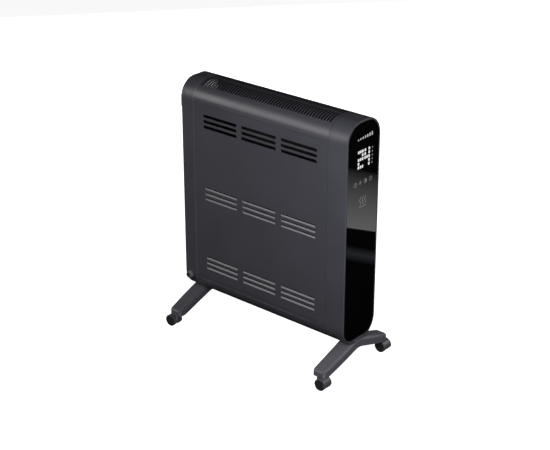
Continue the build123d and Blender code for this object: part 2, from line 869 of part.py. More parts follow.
for side_name, side in leg_sides.items():
    with BuildPart() as leg:
        with BuildSketch(Plane.YZ.offset(side * leg_inner)) as bow:
            with BuildLine():
                Polyline(
                    (-leg_reach, foot_height),
                    (-leg_reach, leg_top(leg_reach)),
                    (0, z_apex),
                    (leg_reach, leg_top(leg_reach)),
                    (leg_reach, foot_height),
                    (foot_start, foot_height),
                    (0, z_under_apex),
                    (-foot_start, foot_height),
                    close=True,
                )
            make_face()
            fillet(bow.vertices().sort_by_distance((0, z_apex))[0], leg_crown_top)
            fillet(bow.vertices().sort_by_distance((0, z_under_apex))[0], leg_crown_under)
        extrude(amount=side * (leg_outer - leg_inner))
        # Seen from above, the outer side bulges towards its middle.
        with BuildSketch(Plane.XY):
            with BuildLine():
                Polyline(
                    (side * leg_outer_end, -leg_reach),
                    (side * leg_inner, -leg_reach),
                    (side * leg_inner, leg_reach),
                    (side * leg_outer_end, leg_reach),
                )
                ThreePointArc(
                    (side * leg_outer_end, leg_reach),
                    (side * leg_outer, 0),
                    (side * leg_outer_end, -leg_reach),
                )
            make_face()
        extrude(amount=z_top, mode=Mode.INTERSECT)
        corners = leg.edges().filter_by(Axis.Z)
        fillet(corners.filter_by(lambda edge: abs(edge.center().Y) > leg_reach - 1), leg_corner)
        upper = leg.edges().filter_by(
            lambda edge: edge.center().Z > leg_top(edge.center().Y) - leg_thickness / 2
        )
        across = upper.filter_by(Axis.X).filter_by(lambda edge: abs(edge.center().Y) < leg_reach - 1)
        fillet(upper - across, leg_edge)
        # Seat for the rounded underside of the body.
        seat_start = side * (leg_inner - 1)
        seat_end = side * (body_width / 2 + leg_seat_gap) + body_shift
        extrude(
            section(min(seat_start, seat_end), -leg_seat_gap),
            amount=abs(seat_end - seat_start),
            mode=Mode.SUBTRACT,
        )
        # Ribs along the crown, just outside the end of the body.
        for step in range(rib_count):
            rib_y = rib_pitch * (step - (rib_count - 1) / 2)
            rib_x = sorted((seat_end, seat_end + side * rib_depth))
            box_between(
                (rib_x[0], rib_y - rib_width / 2, z_bottom),
                (rib_x[1], rib_y + rib_width / 2, rib_top),
            )
        # Hollow underside with a level roof below the seat.
        hollow_start = side * (leg_inner + leg_wall)
        with BuildSketch(Plane.YZ.offset(hollow_start)):
            with BuildLine():
                Polyline(
                    (-leg_hollow, 0),
                    (-leg_hollow, leg_top(leg_hollow) - leg_roof),
                    (-roof_half, z_roof),
                    (roof_half, z_roof),
                    (leg_hollow, leg_top(leg_hollow) - leg_roof),
                    (leg_hollow, 0),
                    close=True,
                )
            make_face()
        extrude(amount=side * (leg_outer_end - leg_inner - 2 * leg_wall), mode=Mode.SUBTRACT)
        with BuildSketch(Plane.XY.offset(z_roof - 1)):
            with Locations(*[(side * x, y) for x, y in leg_screw_places]):
                Circle(leg_screw_radius)
        extrude(amount=leg_roof + leg_apex, mode=Mode.SUBTRACT)
        # Sockets for the castors' bushes.
        socket_places = [(side * castor_x, end * castor_y) for end in castor_ends.values()]
        with BuildSketch(Plane.XY.offset(foot_height)):
            with Locations(*socket_places):
                Circle(bush_radius_outer)
        extrude(amount=bush_height, mode=Mode.SUBTRACT)
        with BuildSketch(Plane.XY.offset(foot_height)):
            with Locations(*socket_places):
                Circle(castor_bush_flange)
        extrude(amount=castor_bush_lip, mode=Mode.SUBTRACT)
    save(leg, f"{side_name}_leg")

leg_screws = pan_screws(
    [(side * x, y, z_roof) for side in leg_sides.values() for x, y in leg_screw_places],
    (0, 0, -1),
    leg_screw_radius,
    leg_screw_length,
    leg_screw_head,
)
save(leg_screws, "leg_screws")

# ----------------------------------------------------------------------- castors

z_axle = wheel_radius
hood_radius = wheel_radius + hood_gap + hood_wall
z_neck = foot_height - neck_gap
wheel_start = web_half + wheel_play


def castor_bush(x, y):
    """Bush in a leg's socket, closed at its upper end, with a flange flush with the foot."""
    with BuildPart() as bush:
        with BuildSketch(Plane.XY.offset(foot_height)):
            with Locations((x, y)):
                Circle(bush_radius_outer)
        extrude(amount=bush_height)
        with BuildSketch(Plane.XY.offset(foot_height)):
            with Locations((x, y)):
                Circle(castor_bush_flange)
        extrude(amount=castor_bush_lip)
        with BuildSketch(Plane.XY.offset(foot_height)):
            with Locations((x, y)):
                Circle(stem_radius + running_clearance)
        extrude(amount=bush_bore, mode=Mode.SUBTRACT)
    return bush


def castor_stem(x, y):
    """Steel pin that is pressed into the hood's neck and turns in the bush."""
    with BuildPart() as stem:
        with BuildSketch(Plane.XY.offset(z_neck - stem_grip)):
            with Locations((x, y)):
                Circle(stem_radius)
        extrude(amount=stem_grip + neck_gap + stem_length)
        chamfer(stem.faces().sort_by(Axis.Z)[-1].edges(), stem_radius / 4)
    return stem


def castor_hood(x, y, axle_x):
    """Hood over the two wheels, with a web between them and a neck around the stem."""
    with BuildPart() as hood:
        with BuildSketch(Plane.XZ.offset(-y)):
            with Locations((axle_x, z_axle)):
                Circle(hood_radius)
        extrude(amount=hood_half_width, both=True)
        fillet(hood.edges().filter_by(GeomType.CIRCLE), hood_wall / 2)
        with BuildSketch(Plane.XY.offset(z_axle)):
            with Locations((x, y)):
                Circle(neck_radius)
        extrude(amount=z_neck - z_axle)
        for way in (-1, 1):
            with BuildSketch(Plane.XZ.offset(-y - way * web_half)):
                with Locations((axle_x, z_axle)):
                    Circle(wheel_radius + hood_gap)
            extrude(amount=-way * wheel_face, mode=Mode.SUBTRACT)
        box_between(
            (axle_x - 2 * hood_radius, y - wheel_face, z_axle - 2 * hood_radius),
            (axle_x + 2 * hood_radius, y + wheel_face, z_axle - hood_skirt),
            mode=Mode.SUBTRACT,
        )
        with BuildSketch(Plane.XZ.offset(-y)):
            with Locations((axle_x, z_axle)):
                Circle(axle_radius)
        extrude(amount=wheel_face, both=True, mode=Mode.SUBTRACT)
        with BuildSketch(Plane.XY.offset(z_neck)):
            with Locations((x, y)):
                Circle(stem_radius)
        extrude(amount=-stem_grip, mode=Mode.SUBTRACT)
    return hood


def castor_axle(y, axle_x):
    """Steel axle held in the hood's web."""
    with BuildPart() as axle:
        with BuildSketch(Plane.XZ.offset(-y)):
            with Locations((axle_x, z_axle)):
                Circle(axle_radius)
        extrude(amount=axle_half, both=True)
        chamfer(axle.edges().filter_by(GeomType.CIRCLE), axle_radius / 5)
    return axle


def castor_wheel(y, axle_x, way):
    """One wheel of the pair, on the side of the web that way points to along Y."""
    outer = y + way * wheel_face
    inner = y + way * wheel_start
    with BuildPart() as wheel:
        with BuildSketch(Plane.XZ.offset(-inner)):
            with Locations((axle_x, z_axle)):
                Circle(wheel_radius)
        extrude(amount=-way * (wheel_face - wheel_start))
        chamfer(wheel.edges().filter_by(GeomType.CIRCLE), wheel_chamfer)
        with BuildSketch(Plane.XZ.offset(-outer)):
            with Locations((axle_x, z_axle)):
                Circle(wheel_radius - wheel_rim)
        extrude(amount=way * wheel_dish, mode=Mode.SUBTRACT)
        with BuildSketch(Plane.XZ.offset(-inner)):
            with Locations((axle_x, z_axle)):
                Circle(wheel_radius - wheel_rim)
                Circle(axle_radius + wheel_hub_wall, mode=Mode.SUBTRACT)
        extrude(amount=-way * wheel_pocket, mode=Mode.SUBTRACT)
        with BuildSketch(Plane.XZ.offset(-inner)):
            with Locations((axle_x, z_axle)):
                Circle(axle_radius + running_clearance)
        extrude(amount=-way * (axle_half + wheel_play - wheel_start), mode=Mode.SUBTRACT)
    return wheel


for end_name, end in castor_ends.items():
    for side_name, side in leg_sides.items():
        corner = f"{end_name}_{side_name}"
        x = side * castor_x
        y = end * castor_y
        axle_x = side * (castor_x + castor_trail)
        save(castor_bush(x, y), f"{corner}_castor_bush")
        save(castor_stem(x, y), f"{corner}_castor_stem")
        save(castor_hood(x, y, axle_x), f"{corner}_castor_hood")
        save(castor_axle(y, axle_x), f"{corner}_castor_axle")
        save(castor_wheel(y, axle_x, end), f"{corner}_outer_wheel")
        save(castor_wheel(y, axle_x, -end), f"{corner}_inner_wheel")
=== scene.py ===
import json
from math import atan2, cos, pi, radians, sin

import bmesh
import bpy
from mathutils import Matrix, Vector


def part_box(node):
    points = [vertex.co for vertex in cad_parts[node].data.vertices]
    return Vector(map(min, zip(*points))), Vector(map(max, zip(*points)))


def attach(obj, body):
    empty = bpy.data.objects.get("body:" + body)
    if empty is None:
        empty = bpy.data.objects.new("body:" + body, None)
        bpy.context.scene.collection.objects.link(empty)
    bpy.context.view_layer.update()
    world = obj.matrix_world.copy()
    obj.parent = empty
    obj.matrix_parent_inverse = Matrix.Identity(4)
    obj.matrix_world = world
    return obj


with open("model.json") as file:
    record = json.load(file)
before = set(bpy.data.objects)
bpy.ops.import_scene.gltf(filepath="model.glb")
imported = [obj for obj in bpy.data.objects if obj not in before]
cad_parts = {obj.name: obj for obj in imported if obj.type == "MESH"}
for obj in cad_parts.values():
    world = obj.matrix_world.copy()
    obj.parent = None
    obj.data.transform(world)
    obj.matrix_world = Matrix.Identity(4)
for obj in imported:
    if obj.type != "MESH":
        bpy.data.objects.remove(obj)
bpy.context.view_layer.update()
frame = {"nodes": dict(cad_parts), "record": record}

# A free-standing convector heater. Everything is in metres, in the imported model's frame:
# +X towards the glass control panel, -Y towards the louvred front, +Z up.

CAP_LOW, CAP_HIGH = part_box("right_end_cap")
PANEL_LOW, PANEL_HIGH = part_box("front_panel")
GLAND_LOW, GLAND_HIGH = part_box("cable_gland")
_, GLASS_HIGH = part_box("control_glass")

BODY_BOTTOM = CAP_LOW.z
BODY_TOP = CAP_HIGH.z
FACE_Y = CAP_LOW.y
HALF_DEPTH = (CAP_HIGH.y - CAP_LOW.y) / 2
GLAND_MIDDLE = (GLAND_LOW + GLAND_HIGH) / 2

# ------------------------------------------------------------------------ shader helpers

# Most of a noise texture's values lie between these two.
NOISE_LOW = 0.3
NOISE_HIGH = 0.7


class Shader:
    """A material with a Principled shader and short calls for the nodes around it."""

    def __init__(self, name, **values):
        self.material = bpy.data.materials.new(name)
        self.material.use_nodes = True
        self.find_nodes()
        for socket, value in values.items():
            self.principled.inputs[socket.replace("_", " ")].default_value = value

    @classmethod
    def over(cls, material):
        """The same calls for a material that is already there."""
        made = cls.__new__(cls)
        made.material = material
        made.find_nodes()
        return made

    def find_nodes(self):
        self.tree = self.material.node_tree
        self.principled = self.tree.nodes["Principled BSDF"]
        source = self.tree.nodes.new("ShaderNodeTexCoord")
        self.coordinates = source.outputs["Object"]
        self.normals = source.outputs["Normal"]

    def node(self, kind, inputs=None, **settings):
        made = self.tree.nodes.new(kind)
        for key, value in settings.items():
            setattr(made, key, value)
        for key, value in (inputs or {}).items():
            self.feed(value, made.inputs[key])
        return made

    def feed(self, value, socket):
        if isinstance(value, bpy.types.NodeSocket):
            self.tree.links.new(value, socket)
        else:
            socket.default_value = value

    def set(self, socket, value):
        self.feed(value, self.principled.inputs[socket])

    def base_colour(self):
        """The socket that feeds the base colour so far."""
        return self.principled.inputs["Base Color"].links[0].from_socket

    def mapped(self, scale, location=(0, 0, 0)):
        """Object coordinates times three factors, then moved."""
        mapping = self.node("ShaderNodeMapping", {"Vector": self.coordinates})
        mapping.inputs["Scale"].default_value = scale
        mapping.inputs["Location"].default_value = location
        return mapping.outputs["Vector"]

    def component(self, vector, axis):
        return self.node("ShaderNodeSeparateXYZ", {"Vector": vector}).outputs[axis]

    def math(self, operation, *values):
        made = self.node("ShaderNodeMath", dict(enumerate(values)), operation=operation)
        return made.outputs["Value"]

    def vector_math(self, operation, *vectors):
        made = self.node("ShaderNodeVectorMath", dict(enumerate(vectors)), operation=operation)
        return made.outputs["Value"]

    def noise(self, scale, detail=2.0, roughness=0.5, vector=None):
        inputs = {"Vector": vector or self.coordinates, "Scale": scale}
        inputs |= {"Detail": detail, "Roughness": roughness}
        return self.node("ShaderNodeTexNoise", inputs).outputs["Fac"]

    def voronoi(self, scale, feature="F1", output="Distance"):
        inputs = {"Vector": self.coordinates, "Scale": scale}
        return self.node("ShaderNodeTexVoronoi", inputs, feature=feature).outputs[output]

    def ramp(self, value, low, high, first=0.0, last=1.0):
        """A value that goes from first to last while the one given goes from low to high."""
        inputs = {"Value": value, "From Min": low, "From Max": high, "To Min": first, "To Max": last}
        return self.node("ShaderNodeMapRange", inputs).outputs["Result"]

    def blend(self, factor, first, second):
        """Two colours mixed by a value."""
        mix = self.node("ShaderNodeMix", data_type="RGBA")
        # A Mix node's sockets share their visible names, so they are found by identifier.
        sockets = {socket.identifier: socket for socket in (*mix.inputs, *mix.outputs)}
        self.feed(factor, mix.inputs[0])
        for colour, identifier in ((first, "A_Color"), (second, "B_Color")):
            self.feed((*colour, 1) if isinstance(colour, tuple) else colour, sockets[identifier])
        return sockets["Result_Color"]

    def bump(self, height, distance, strength):
        inputs = {"Height": height, "Distance": distance, "Strength": strength}
        self.set("Normal", self.node("ShaderNodeBump", inputs).outputs["Normal"])


def scaled(colour, factor, lift=0.0):
    """A colour times a factor and a little lifted, kept within white."""
    return tuple(min(1.0, channel * factor + lift) for channel in colour)


# ----------------------------------------------------------------------------- materials

CHARCOAL = (0.034, 0.034, 0.042)
# Paler grey of the louvre blades: a painted highlight where their surfaces face the light from above.
BLADE_HIGHLIGHT_GREY = (0.15, 0.15, 0.16)
LEG_GREY = (0.060, 0.060, 0.069)
HOOD_GREY = (0.046, 0.046, 0.053)
WHEEL_GREY = (0.014, 0.014, 0.017)
# Pale grey of the seam bead and bottom lip: a painted highlight.
SEAM_HIGHLIGHT_GREY = (0.085, 0.085, 0.095)
# Black painted shade for the body's inner faces, slot walls and heat shield, where shade falls inside.
PAINTED_SHADE_BLACK = (0.003, 0.003, 0.003)

# The louvre blades start this far behind the front's face and are fully pale, a painted highlight, at the
# second depth.
BLADE_NEAR = 0.0006
BLADE_FAR = 0.0012
# How far a normal leans inwards where a panel's painted shade starts and where it covers everything.
LEAN_START = 0.15
LEAN_END = 0.35
# How far a grille face's plane passes from the body's middle line: all painted shade (black) when it is
# nearer than the first, all coat when it is further than the second.
OUTER_START = 0.035
OUTER_END = 0.045
# The radius beyond which the gland carries a painted highlight, and the width of the change.
GLAND_HIGHLIGHT_RADIUS = 0.0064
GLAND_HIGHLIGHT_FADE = 0.0006
# The galvanised plates show their zinc this far down from the top, with painted shade (black) below, and
# the width of the change.
PAINTED_SHADE_DEPTH = 0.068
PAINTED_SHADE_FADE = 0.004


def powder_coat(name, colour, low_roughness, high_roughness):
    """Satin powder coat: slightly uneven gloss over a fine orange-peel surface."""
    made = Shader(name, Metallic=0.0, IOR=1.5)
    broad = made.noise(9.0, detail=3.0)
    peel = made.noise(900.0, detail=2.0)
    uneven = made.ramp(broad, NOISE_LOW, NOISE_HIGH)
    made.set("Base Color", made.blend(uneven, colour, scaled(colour, 1.12)))
    made.set("Roughness", made.ramp(broad, NOISE_LOW, NOISE_HIGH, low_roughness, high_roughness))
    made.bump(peel, distance=0.00006, strength=0.5)
    return made.material


def louvred_coat(name, colour, low_roughness, high_roughness):
    """Powder coat whose pressed louvre blades, just behind the face, are painted paler as a highlight for
    their up-facing surfaces.
    """
    made = Shader.over(powder_coat(name, colour, low_roughness, high_roughness))
    depth = made.component(made.coordinates, "Y")
    blade_highlight = made.ramp(depth, FACE_Y + BLADE_NEAR, FACE_Y + BLADE_FAR)
    # Painted highlight: the blades behind the face are paler than the coat.
    made.set("Base Color", made.blend(blade_highlight, made.base_colour(), BLADE_HIGHLIGHT_GREY))
    return made.material


def dark_inside(material, axis, inward):
    """Paint the sheet's inner faces, whose normals point inward along axis, dull black: painted shade
    inside the body.
    """
    made = Shader.over(material)
    lean = made.component(made.normals, axis)
    inner = made.ramp(lean, LEAN_START * inward, LEAN_END * inward)
    # Painted shade: inward-facing faces turn black.
    made.set("Base Color", made.blend(inner, made.base_colour(), PAINTED_SHADE_BLACK))
    return material


def dark_slots(material):
    """Paint a slotted sheet's edges and its inner face, turned to the body's middle, black as painted
    shade.
    """
    made = Shader.over(material)
    across = made.mapped((0, 1, 1), (0, 0, -(BODY_BOTTOM + BODY_TOP) / 2))
    outward = made.vector_math("DOT_PRODUCT", across, made.normals)
    outer = made.ramp(outward, OUTER_START, OUTER_END)
    # Painted shade: slot walls and the inner face turn black.
    made.set("Base Color", made.blend(outer, PAINTED_SHADE_BLACK, made.base_colour()))
    return material


def moulded_plastic(name, colour, roughness, grain=1400.0, depth=0.00006):
    """Moulded plastic with a spark-eroded grain and faint flow marks."""
    made = Shader(name, Metallic=0.0, IOR=1.46)
    flow = made.noise(14.0, detail=4.0)
    speckle = made.noise(grain, detail=3.0, roughness=0.7)
    marked = made.ramp(flow, NOISE_LOW, NOISE_HIGH)
    made.set("Base Color", made.blend(marked, colour, scaled(colour, 1.18)))
    made.set("Roughness", made.ramp(speckle, 0.2, 0.8, roughness - 0.05, roughness + 0.08))
    made.bump(speckle, distance=depth, strength=0.6)
    return made.material


def gland_moulding(name, colour, rim_highlight_colour):
    """The cord gland's nylon, with a paler painted highlight on its outer rim."""
    made = Shader.over(moulded_plastic(name, colour, 0.30))
    reach = made.vector_math("LENGTH", made.mapped((1, 0, 1), (-GLAND_MIDDLE.x, 0, -GLAND_MIDDLE.z)))
    # Painted highlight: the outer rim is paler.
    rim_highlight = made.ramp(reach, GLAND_HIGHLIGHT_RADIUS - GLAND_HIGHLIGHT_FADE, GLAND_HIGHLIGHT_RADIUS)
    made.set("Base Color", made.blend(rim_highlight, made.base_colour(), rim_highlight_colour))
    return made.material


def black_glass(name):
    """Polished glass with a black back coat and the faintest smudges."""
    made = Shader(name, Metallic=0.0, IOR=1.5)
    made.set("Base Color", (0.0012, 0.0012, 0.0014, 1))
    smudge = made.noise(22.0, detail=5.0, roughness=0.6)
    made.set("Roughness", made.ramp(smudge, 0.35, 0.75, 0.015, 0.045))
    return made.material


def galvanised_sheet(name):
    """Zinc-coated sheet with its crystal spangle, turned black by painted shade below a line near the top.
    """
    made = Shader(name, Metallic=0.0)
    spangle = made.voronoi(160.0, output="Color")
    level = made.node("ShaderNodeRGBToBW", {"Color": spangle}).outputs["Val"]
    zinc = made.blend(level, (0.86, 0.87, 0.88), (0.96, 0.97, 0.98))
    # Painted shade: below this height the plates are black, where little light reaches inside the body.
    painted_shade_from = BODY_TOP - PAINTED_SHADE_DEPTH
    above_painted_shade = made.ramp(made.component(made.coordinates, "Z"), painted_shade_from, painted_shade_from + PAINTED_SHADE_FADE)
    made.set("Base Color", made.blend(above_painted_shade, (0.004, 0.004, 0.004), zinc))
    made.set("Roughness", made.ramp(level, 0.0, 1.0, 0.32, 0.55))
    made.bump(made.noise(600.0), distance=0.00005, strength=0.4)
    return made.material


def brushed_metal(name, dark, light, roughness, direction):
    """Metal with fine drawn or turned lines along the axis whose factor is small."""
    made = Shader(name, Metallic=1.0)
    lines = made.noise(1.0, detail=4.0, vector=made.mapped(direction))
    made.set("Base Color", made.blend(made.ramp(lines, NOISE_LOW, NOISE_HIGH), dark, light))
    made.set("Roughness", made.ramp(lines, NOISE_LOW, NOISE_HIGH, roughness, roughness + 0.15))
    made.bump(lines, distance=0.00003, strength=0.5)
    return made.material


def circuit_board(name):
    """Solder mask over a grid of copper tracks."""
    made = Shader(name, Metallic=0.0, Roughness=0.35, IOR=1.5)
    tracks = made.voronoi(260.0, feature="DISTANCE_TO_EDGE")
    on_track = made.ramp(tracks, 0.04, 0.08, 1.0, 0.0)
    made.set("Base Color", made.blend(on_track, (0.012, 0.10, 0.035), (0.05, 0.24, 0.09)))
    made.bump(on_track, distance=0.00004, strength=0.6)
    return made.material


def soft_rubber(name, colour, roughness):
    """Rubber or silicone with a dull, slightly dusty surface."""
    made = Shader(name, Metallic=0.0, IOR=1.42)
    dust = made.noise(240.0, detail=5.0, roughness=0.7)
    dusty = made.ramp(dust, 0.45, 0.8)
    made.set("Base Color", made.blend(dusty, colour, scaled(colour, 1.3, lift=0.004)))
    made.set("Roughness", made.ramp(dust, 0.3, 0.8, roughness, roughness + 0.1))
    made.bump(dust, distance=0.00005, strength=0.5)
    return made.material


def woven_sleeve(name):
    """Braided glass-fibre sleeving."""
    made = Shader(name, Metallic=0.0, Roughness=0.75)
    one_way, other_way = (
        made.node("ShaderNodeTexWave", {"Vector": made.mapped(slant), "Scale": 260.0}).outputs["Fac"]
        for slant in ((1, 1, 1), (1, -1, 1))
    )
    braid = made.math("MULTIPLY", one_way, other_way)
    made.set("Base Color", made.blend(braid, (0.22, 0.02, 0.015), (0.55, 0.07, 0.04)))
    made.bump(braid, distance=0.0002, strength=0.7)
    return made.material


def lit_print(name, colour, brightness):
    """Light that shines through a screen-printed window, with its fine dot screen."""
    made = Shader(name, Metallic=0.0, Roughness=0.3)
    dots = made.noise(2600.0, detail=1.0)
    screened = made.blend(made.ramp(dots, NOISE_LOW, NOISE_HIGH), scaled(colour, 0.86), colour)
    made.set("Base Color", made.blend(dots, (0.010, 0.010, 0.010), (0.014, 0.014, 0.014)))
    made.set("Emission Color", screened)
    made.set("Emission Strength", brightness)
    return made.material


MATERIALS = {
    "front_panel": louvred_coat("charcoal_powder_coat", CHARCOAL, 0.40, 0.46),
    "rear_panel": dark_inside(powder_coat("rear_powder_coat", CHARCOAL, 0.42, 0.48), "Y", -1),
    "grilles": dark_slots(powder_coat("grille_powder_coat", CHARCOAL, 0.36, 0.42)),
    "end_caps": moulded_plastic("cap_moulding", CHARCOAL, 0.42),
    "grip": moulded_plastic("grip_moulding", CHARCOAL, 0.46, grain=1900.0),
    "control_glass": black_glass("black_glass"),
    # The gland's last colour is the painted highlight on its rim.
    "gland": gland_moulding("gland_nylon", (0.030, 0.030, 0.034), (0.11, 0.11, 0.12)),
    "plates": galvanised_sheet("galvanised_sheet"),
    # Painted shade: the heat shield is made black where the slots show only shade behind them.
    "shield": powder_coat("shield_painted_shade_black", PAINTED_SHADE_BLACK, 0.80, 0.90),
    "element": brushed_metal(
        "extruded_aluminium", (0.58, 0.59, 0.60), (0.80, 0.81, 0.82), 0.28, (8, 700, 700)
    ),
    "rod": brushed_metal("stainless_tube", (0.42, 0.41, 0.40), (0.60, 0.59, 0.57), 0.25, (900, 20, 20)),
    "silicone": soft_rubber("silicone", (0.45, 0.07, 0.03), 0.5),
    "terminals": brushed_metal("brass_tabs", (0.62, 0.42, 0.14), (0.82, 0.60, 0.26), 0.22, (900, 40, 900)),
    "cutout": brushed_metal("plated_disc", (0.50, 0.50, 0.50), (0.68, 0.68, 0.69), 0.25, (40, 500, 500)),
    "carrier": moulded_plastic("carrier_moulding", (0.030, 0.030, 0.031), 0.5),
    "boards": circuit_board("solder_mask"),
    "display": moulded_plastic("display_block", (0.012, 0.012, 0.013), 0.22, grain=700.0),
    "springs": brushed_metal("spring_wire", (0.60, 0.50, 0.26), (0.82, 0.72, 0.42), 0.2, (40, 900, 900)),
    "relays": moulded_plastic("relay_housing", (0.02, 0.06, 0.30), 0.28),
    "spacers": moulded_plastic("white_nylon", (0.66, 0.66, 0.62), 0.42),
    "screws": brushed_metal("zinc_plate", (0.38, 0.38, 0.40), (0.56, 0.56, 0.58), 0.28, (500, 500, 500)),
    "dark_screws": brushed_metal(
        "black_oxide", (0.018, 0.018, 0.02), (0.04, 0.04, 0.043), 0.34, (500, 60, 500)
    ),
    "grommets": soft_rubber("grommet_rubber", (0.012, 0.012, 0.012), 0.6),
    "loom": woven_sleeve("glass_sleeve"),
    "legs": moulded_plastic("leg_moulding", LEG_GREY, 0.44, grain=1100.0, depth=0.00008),
    "castor_bushes": moulded_plastic("acetal", (0.58, 0.58, 0.55), 0.36),
    "pins": brushed_metal("turned_steel", (0.45, 0.45, 0.46), (0.62, 0.62, 0.63), 0.22, (500, 500, 40)),
    "hoods": moulded_plastic("castor_nylon", HOOD_GREY, 0.30, grain=900.0, depth=0.00004),
    "wheels": moulded_plastic("wheel_nylon", WHEEL_GREY, 0.45, grain=1300.0),
}
for subpart in frame["record"]["subparts"]:
    node = frame["nodes"][subpart["node"]]
    node.data.materials.clear()
    node.data.materials.append(MATERIALS[subpart["material_slot"]])

# -------------------------------------------------------------------------- mesh helpers


def link_object(name, data):
    made = bpy.data.objects.new(name, data)
    bpy.context.scene.collection.objects.link(made)
    return made


def link_mesh(name, mesh):
    """Turn a bmesh into an object and free it."""
    data = bpy.data.meshes.new(name)
    mesh.to_mesh(data)
    mesh.free()
    return link_object(name, data)


def riding_piece(name, mesh, material):
    """Turn a bmesh into a piece that rides on the heater."""
    bmesh.ops.recalc_face_normals(mesh, faces=mesh.faces)
    piece = link_mesh(name, mesh)
    piece.data.materials.append(material)
    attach(piece, "heater")


def bridge(mesh, loop, following):
    """Faces between two closed loops of equally many points."""
    for step in range(len(loop)):
        after = (step + 1) % len(loop)
        mesh.faces.new((loop[step], loop[after], following[after], following[step]))


def arc(centre, radius, start, end, steps=20):
    """Points (y, z) on an arc, with angles in degrees, anticlockwise from +Y as seen from +X."""
    angles = [radians(start + (end - start) * step / steps) for step in range(steps + 1)]
    return [(centre[0] + radius * cos(angle), centre[1] + radius * sin(angle)) for angle in angles]


# --------------------------------------------------------- what shines through the glass

# Every mark is a thin plate a hair in front of the glass, still behind the cap's rim.
MARK_X = GLASS_HIGH.x + 0.00003
MARK_THICKNESS = 0.00008
CORNER_SHARE = 0.12

WHITE_LIGHT = lit_print("display_light", (0.92, 0.94, 0.93), 0.92)
SOFT_LIGHT = lit_print("scale_light", (0.62, 0.63, 0.63), 0.85)
DIM_LIGHT = lit_print("indicator_light", (0.36, 0.365, 0.37), 0.6)
PRINT_GREY = lit_print("symbol_print", (0.42, 0.42, 0.43), 0.42)


def marks(name, outlines, material):
    """One piece made of several plates, each given by its outline, a loop of (y, z)."""
    mesh = bmesh.new()
    for outline in outlines:
        near = [mesh.verts.new((MARK_X + MARK_THICKNESS, y, z)) for y, z in outline]
        far = [mesh.verts.new((MARK_X, y, z)) for y, z in outline]
        mesh.faces.new(near)
        mesh.faces.new(far[::-1])
        bridge(mesh, far, near)
    riding_piece(name, mesh, material)


def rectangle(centre_y, centre_z, width, height):
    """A rectangle's corners with small chamfers."""
    cut = min(width, height) * CORNER_SHARE
    half_y = width / 2
    half_z = height / 2
    return [
        (centre_y + half_y, centre_z - half_z + cut),
        (centre_y + half_y, centre_z + half_z - cut),
        (centre_y + half_y - cut, centre_z + half_z),
        (centre_y - half_y + cut, centre_z + half_z),
        (centre_y - half_y, centre_z + half_z - cut),
        (centre_y - half_y, centre_z - half_z + cut),
        (centre_y - half_y + cut, centre_z - half_z),
        (centre_y + half_y - cut, centre_z - half_z),
    ]


def stroke(points, width):
    """The outline of a line of even width through points."""
    left = []
    right = []
    for index, (y, z) in enumerate(points):
        before = points[max(index - 1, 0)]
        after = points[min(index + 1, len(points) - 1)]
        angle = atan2(after[1] - before[1], after[0] - before[0]) + pi / 2
        left.append((y + cos(angle) * width / 2, z + sin(angle) * width / 2))
        right.append((y - cos(angle) * width / 2, z - sin(angle) * width / 2))
    return right + left[::-1]


# Two digits of dots.
DOT_PITCH_Y = 0.0067
DOT_PITCH_Z = 0.0083
DOT_WIDTH = 0.0049
DOT_HEIGHT = 0.0060
DIGIT_TOP = BODY_BOTTOM + 0.4437
DIGITS = {
    "display_tens": (-0.0198, ("###", "..#", "###", "#..", "###")),
    "display_units": (0.0019, ("#.#", "#.#", "###", "..#", "..#")),
}
for name, (left_edge, rows) in DIGITS.items():
    dots = [
        rectangle(
            left_edge + (column + 0.5) * DOT_PITCH_Y,
            DIGIT_TOP - (row + 0.5) * DOT_PITCH_Z,
            DOT_WIDTH,
            DOT_HEIGHT,
        )
        for row, pattern in enumerate(rows)
        for column, mark in enumerate(pattern)
        if mark == "#"
    ]
    marks(name, dots, WHITE_LIGHT)

# Five small indicators to the right of the digits.
INDICATOR_Y = 0.0295
INDICATOR_TOP = BODY_BOTTOM + 0.4386
INDICATOR_PITCH = 0.0082
INDICATOR_WIDTH = 0.0030
INDICATOR_HEIGHT = 0.0036
for index in range(5):
    middle = INDICATOR_TOP - index * INDICATOR_PITCH
    spot = rectangle(INDICATOR_Y, middle, INDICATOR_WIDTH, INDICATOR_HEIGHT)
    marks(f"indicator_{index + 1}", [spot], DIM_LIGHT)

# A plain power scale: a row of bars that grow towards the right.
SCALE_LEFT = -0.0185
SCALE_PITCH = 0.0076
SCALE_BASE = BODY_BOTTOM + 0.4655
BAR_WIDTH = 0.0040
BAR_HEIGHT = 0.0026
BAR_GROWTH = 0.0009
scale_bars = []
for index in range(7):
    bar_height = BAR_HEIGHT + BAR_GROWTH * index
    bar_y = SCALE_LEFT + SCALE_PITCH * index
    scale_bars.append(rectangle(bar_y, SCALE_BASE + bar_height / 2, BAR_WIDTH, bar_height))
marks("power_scale", scale_bars, SOFT_LIGHT)

# Four touch symbols. The factors in their drawings are shares of SYMBOL_RADIUS.
SYMBOL_Z = BODY_BOTTOM + 0.3714
SYMBOL_RADIUS = 0.0046
SYMBOL_LINE = 0.0011


def ring(centre, share, start, end):
    return stroke(arc(centre, SYMBOL_RADIUS * share, start, end), SYMBOL_LINE)


def timer_symbol(centre):
    y, z = centre
    hands = [(y, z + SYMBOL_RADIUS * 0.6), centre, (y + SYMBOL_RADIUS * 0.45, z)]
    return [ring(centre, 1, 100, 440), stroke(hands, SYMBOL_LINE)]


def warmth_symbol(centre):
    near, far = (arc(centre, SYMBOL_RADIUS * share, 0, 315, 7) for share in (0.72, 1.05))
    return [ring(centre, 0.45, 0, 350), *(stroke(ray, SYMBOL_LINE) for ray in zip(near, far))]


def half_power_symbol(centre):
    return [ring(centre, 1, 90, 270), arc(centre, SYMBOL_RADIUS * 1.05, -90, 90)]


